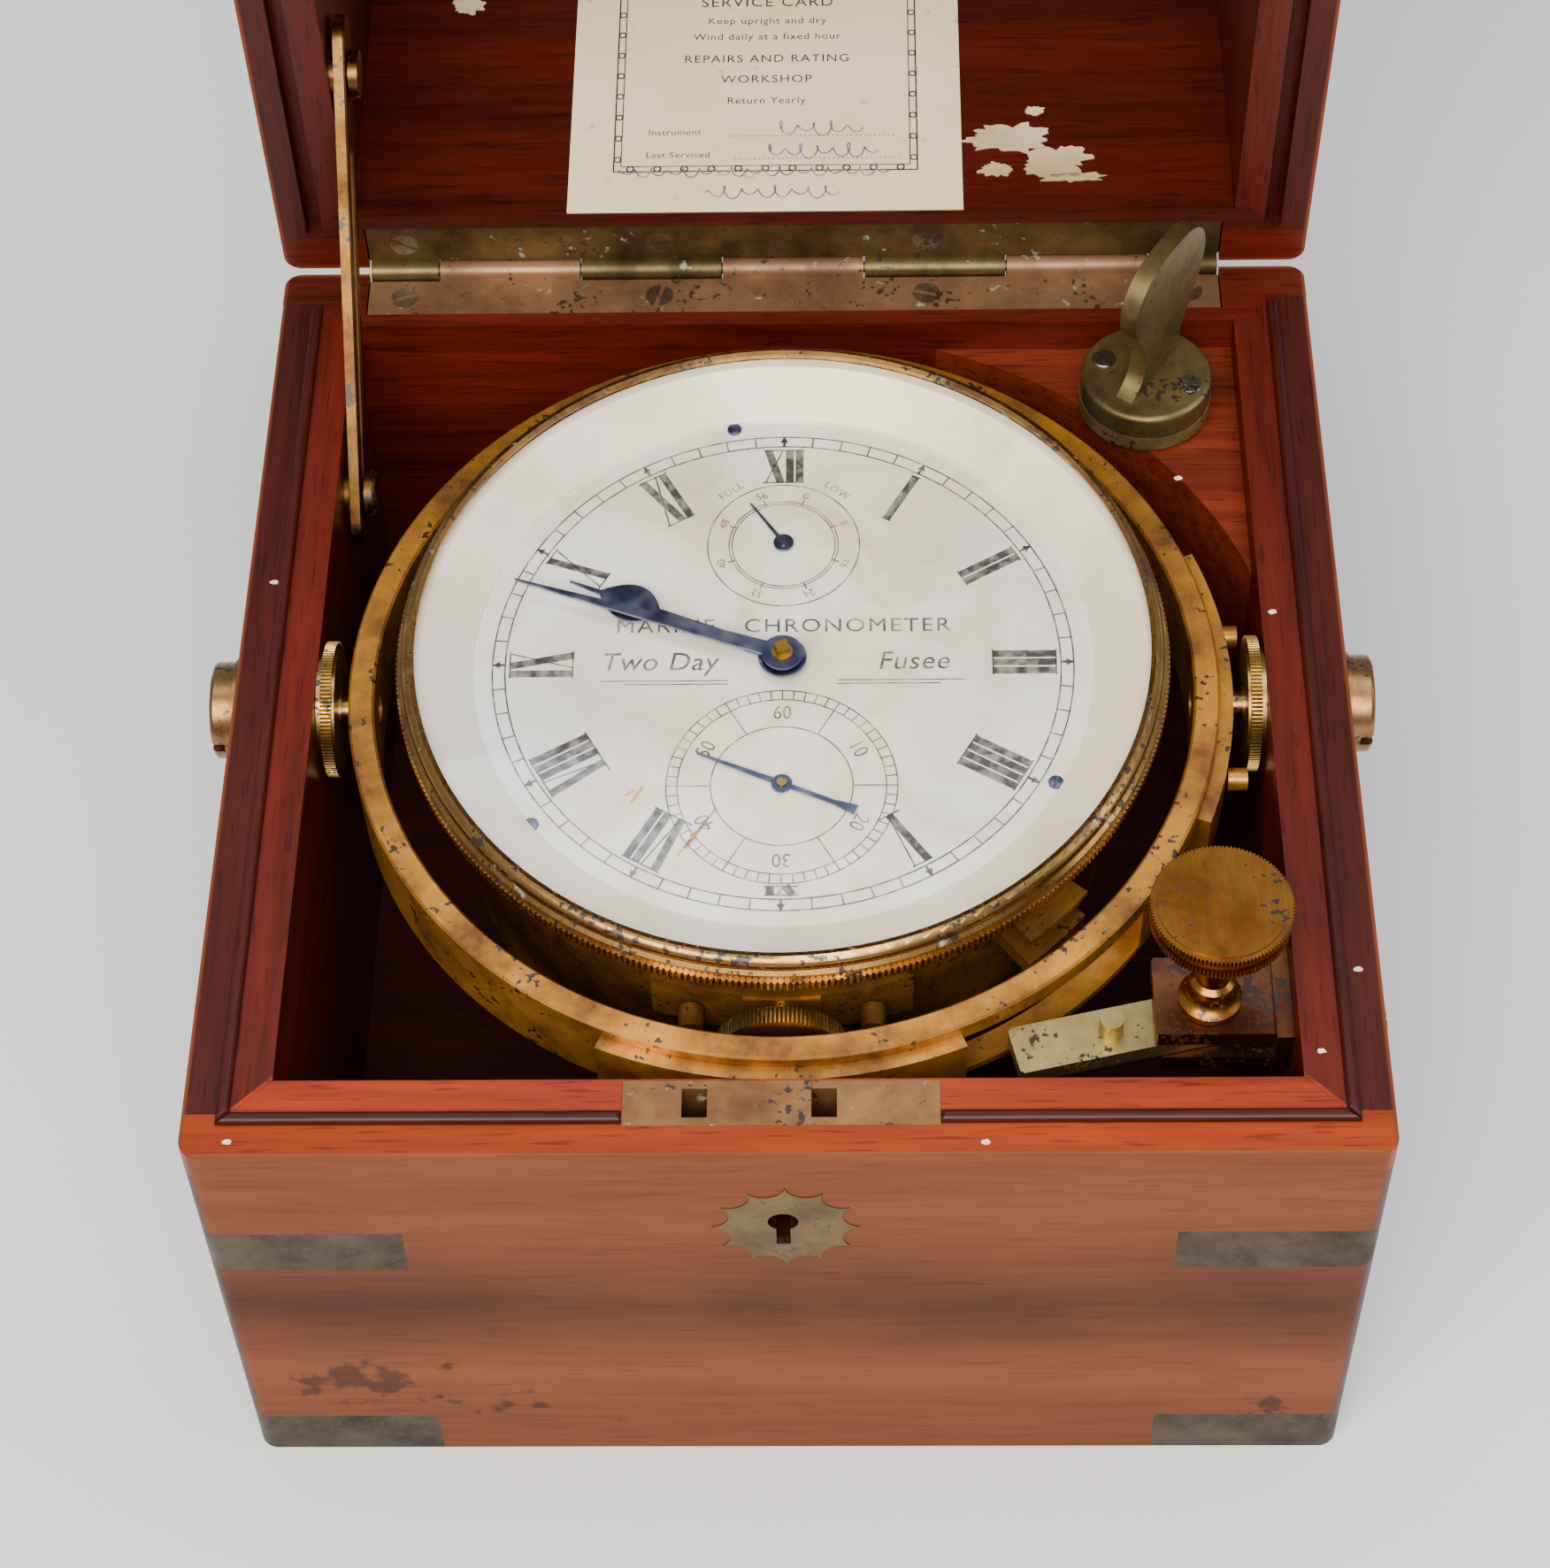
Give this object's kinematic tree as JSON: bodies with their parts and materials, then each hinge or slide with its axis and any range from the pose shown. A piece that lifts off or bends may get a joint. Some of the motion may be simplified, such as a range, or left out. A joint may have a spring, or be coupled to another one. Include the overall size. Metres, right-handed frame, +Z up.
{
  "type": "marine chronometer",
  "caption": "Marine chronometer in a two-tier mahogany box: gimballed brass bowl with silvered dial, gimbal lock, winding key in a corner block, and a stayed lid standing open.",
  "frame": {"origin": "centre of the underside of the case", "axes": "+X to the right seen from the front, the side with the gimbal lock and winding key; +Y to the back, where the lid stands open; +Z up"},
  "size_m": [0.1932, 0.2727, 0.2869],
  "materials": {
    "mahogany": "french polished mahogany, worn and stained outside",
    "brass": "aged brass, lightly tarnished",
    "patinated_brass": "brass with a red-brown patina",
    "dark_brass": "brass bronzed nearly black",
    "steel": "dull steel",
    "blued_steel": "polished blued steel",
    "silvered": "silvered brass, fine matt grain",
    "glass": "clear, polished",
    "paper": "aged cream paper with a printed border"
  },
  "bodies": {
    "case": {"case_front_wall": "mahogany", "case_back_wall": "mahogany", "case_side_walls": "mahogany", "case_base_board": "mahogany", "case_linings": "mahogany", "dust_beads": "mahogany", "corner_block": "mahogany", "lock": "patinated_brass", "escutcheon": "brass", "corner_straps": "dark_brass", "hinge_case_leaf": "brass", "hinge_pin": "steel", "case_wood_screws": "steel", "gimbal_pivot_screws": "brass", "gimbal_lock_nuts": "brass", "lock_bracket": "patinated_brass", "stay_stud": "brass"},
    "lock_bolt": {"lock_bolt": "steel"},
    "lid": {"lid_front_wall": "mahogany", "lid_back_wall": "mahogany", "lid_side_walls": "mahogany", "lid_top_panel": "mahogany", "lid_linings": "mahogany", "hinge_lid_leaf": "brass", "lid_wood_screws": "steel", "lid_lock_hooks": "brass", "stay_pivot_screw": "brass", "lid_label": "paper"},
    "lid_stay": {"lid_stay_arm": "brass"},
    "ring": {"gimbal_ring": "brass", "ring_pivot_pads": "brass", "bowl_pivots": "brass"},
    "bowl": {"bowl": "brass", "bezel": "brass", "bezel_glass": "glass", "reflector_ring": "silvered", "dial": "silvered", "pillar_plate": "brass", "top_plate": "brass", "balance_cock": "brass", "detent": "steel", "hairspring": "blued_steel"},
    "lock_arm": {"lock_arm": "brass"},
    "thumb_screw": {"thumb_screw": "brass"},
    "winding_key": {"key_body": "brass"},
    "key_head": {"key_head": "brass", "key_screws": "steel"},
    "barrel": {"spring_barrel": "brass"},
    "fusee": {"fusee": "brass"},
    "centre_arbor": {"centre_wheel": "brass", "minute_hand": "blued_steel"},
    "third_arbor": {"third_wheel": "brass"},
    "seconds_arbor": {"fourth_wheel": "brass", "seconds_hand": "blued_steel"},
    "escape_arbor": {"escape_wheel": "brass"},
    "minute_wheel": {"minute_wheel": "brass"},
    "hour_wheel": {"hour_wheel": "brass", "hour_hand": "blued_steel"},
    "up_down_arbor": {"up_down_hand": "blued_steel"},
    "balance": {"balance": "brass"}
  },
  "joints": [
    {"name": "lid_hinge", "type": "hinge", "parent": "case", "child": "lid", "pos_m": [0, 0.0936, 0.0961], "axis": [1, 0, 0], "range_deg": [0, 87]},
    {"name": "stay_pivot", "type": "hinge", "parent": "lid", "child": "lid_stay", "pos_m": [-0.0766, 0.09554, 0.14156], "axis": [1, 0, 0], "range_deg": [-44, 0]},
    {"name": "lock_throw", "type": "slide", "parent": "case", "child": "lock_bolt", "axis": [-1, 0, 0], "range_m": [0, 0.0038]},
    {"name": "gimbal_roll", "type": "hinge", "parent": "case", "child": "ring", "pos_m": [-0.00115, 0, 0.0865], "axis": [1, 0, 0], "range_deg": [-45, 45]},
    {"name": "gimbal_pitch", "type": "hinge", "parent": "ring", "child": "bowl", "pos_m": [-0.00115, 0, 0.0865], "axis": [0, 0.9984, 0.0558], "range_deg": [-45, 45]},
    {"name": "lock_arm_swing", "type": "hinge", "parent": "case", "child": "lock_arm", "pos_m": [0.0659, -0.0611, 0.0845], "axis": [0, 0, 1], "range_deg": [-52, 0]},
    {"name": "thumb_screw_turn", "type": "hinge", "parent": "case", "child": "thumb_screw", "pos_m": [0.0659, -0.0611, 0.1], "axis": [0, 0, 1], "range_deg": [0, 180]},
    {"name": "key_lift", "type": "slide", "parent": "case", "child": "winding_key", "axis": [0, 0, 1], "range_m": [0, 0.04]},
    {"name": "key_turn", "type": "hinge", "parent": "winding_key", "child": "key_head", "pos_m": [0.0623, 0.0657, 0.095], "axis": [0, 0, 1], "continuous": true},
    {"name": "seconds_turn", "type": "hinge", "parent": "bowl", "child": "seconds_arbor", "pos_m": [-0.00115, -0.02416, 0.08515], "axis": [0, -0.0558, 0.9984], "continuous": true},
    {"name": "third_turn", "type": "hinge", "parent": "bowl", "child": "third_arbor", "pos_m": [0.00892, -0.01267, 0.08579], "axis": [0, -0.0558, 0.9984], "continuous": true},
    {"name": "centre_turn", "type": "hinge", "parent": "bowl", "child": "centre_arbor", "pos_m": [-0.00115, 0, 0.0865], "axis": [0, -0.0558, 0.9984], "continuous": true},
    {"name": "minute_wheel_turn", "type": "hinge", "parent": "bowl", "child": "minute_wheel", "pos_m": [0.00685, -0.00045, 0.09449], "axis": [0, -0.0558, 0.9984], "continuous": true},
    {"name": "hour_turn", "type": "hinge", "parent": "bowl", "child": "hour_wheel", "pos_m": [-0.00115, -0.0005, 0.09549], "axis": [0, -0.0558, 0.9984], "continuous": true},
    {"name": "escape_turn", "type": "hinge", "parent": "bowl", "child": "escape_arbor", "pos_m": [-0.0151, -0.02923, 0.08487], "axis": [0, -0.0558, 0.9984], "continuous": true},
    {"name": "fusee_turn", "type": "hinge", "parent": "bowl", "child": "fusee", "pos_m": [0.01678, 0.01502, 0.08734], "axis": [0, -0.0558, 0.9984], "continuous": true},
    {"name": "barrel_turn", "type": "hinge", "parent": "bowl", "child": "barrel", "pos_m": [-0.02215, 0.01398, 0.08728], "axis": [0, -0.0558, 0.9984], "continuous": true},
    {"name": "up_down_turn", "type": "hinge", "parent": "bowl", "child": "up_down_arbor", "pos_m": [-0.00115, 0.024, 0.09786], "axis": [0, -0.0558, 0.9984], "range_deg": [-120, 120]},
    {"name": "balance_swing", "type": "hinge", "parent": "bowl", "child": "balance", "pos_m": [-0.01975, -0.01977, 0.06036], "axis": [0, -0.0558, 0.9984], "range_deg": [-220, 220], "stiffness_Nm_per_rad": 0.0001}
  ],
  "couplings": [
    {"joint": "stay_pivot", "follows": "lid_hinge", "ratio": -0.5},
    {"joint": "third_turn", "follows": "seconds_turn", "ratio": -0.13333},
    {"joint": "centre_turn", "follows": "seconds_turn", "ratio": 0.016667},
    {"joint": "minute_wheel_turn", "follows": "seconds_turn", "ratio": -0.0055556},
    {"joint": "hour_turn", "follows": "seconds_turn", "ratio": 0.0013889},
    {"joint": "escape_turn", "follows": "seconds_turn", "ratio": -8},
    {"joint": "fusee_turn", "follows": "seconds_turn", "ratio": -0.0025926},
    {"joint": "barrel_turn", "follows": "seconds_turn", "ratio": -0.0025926}
  ]
}
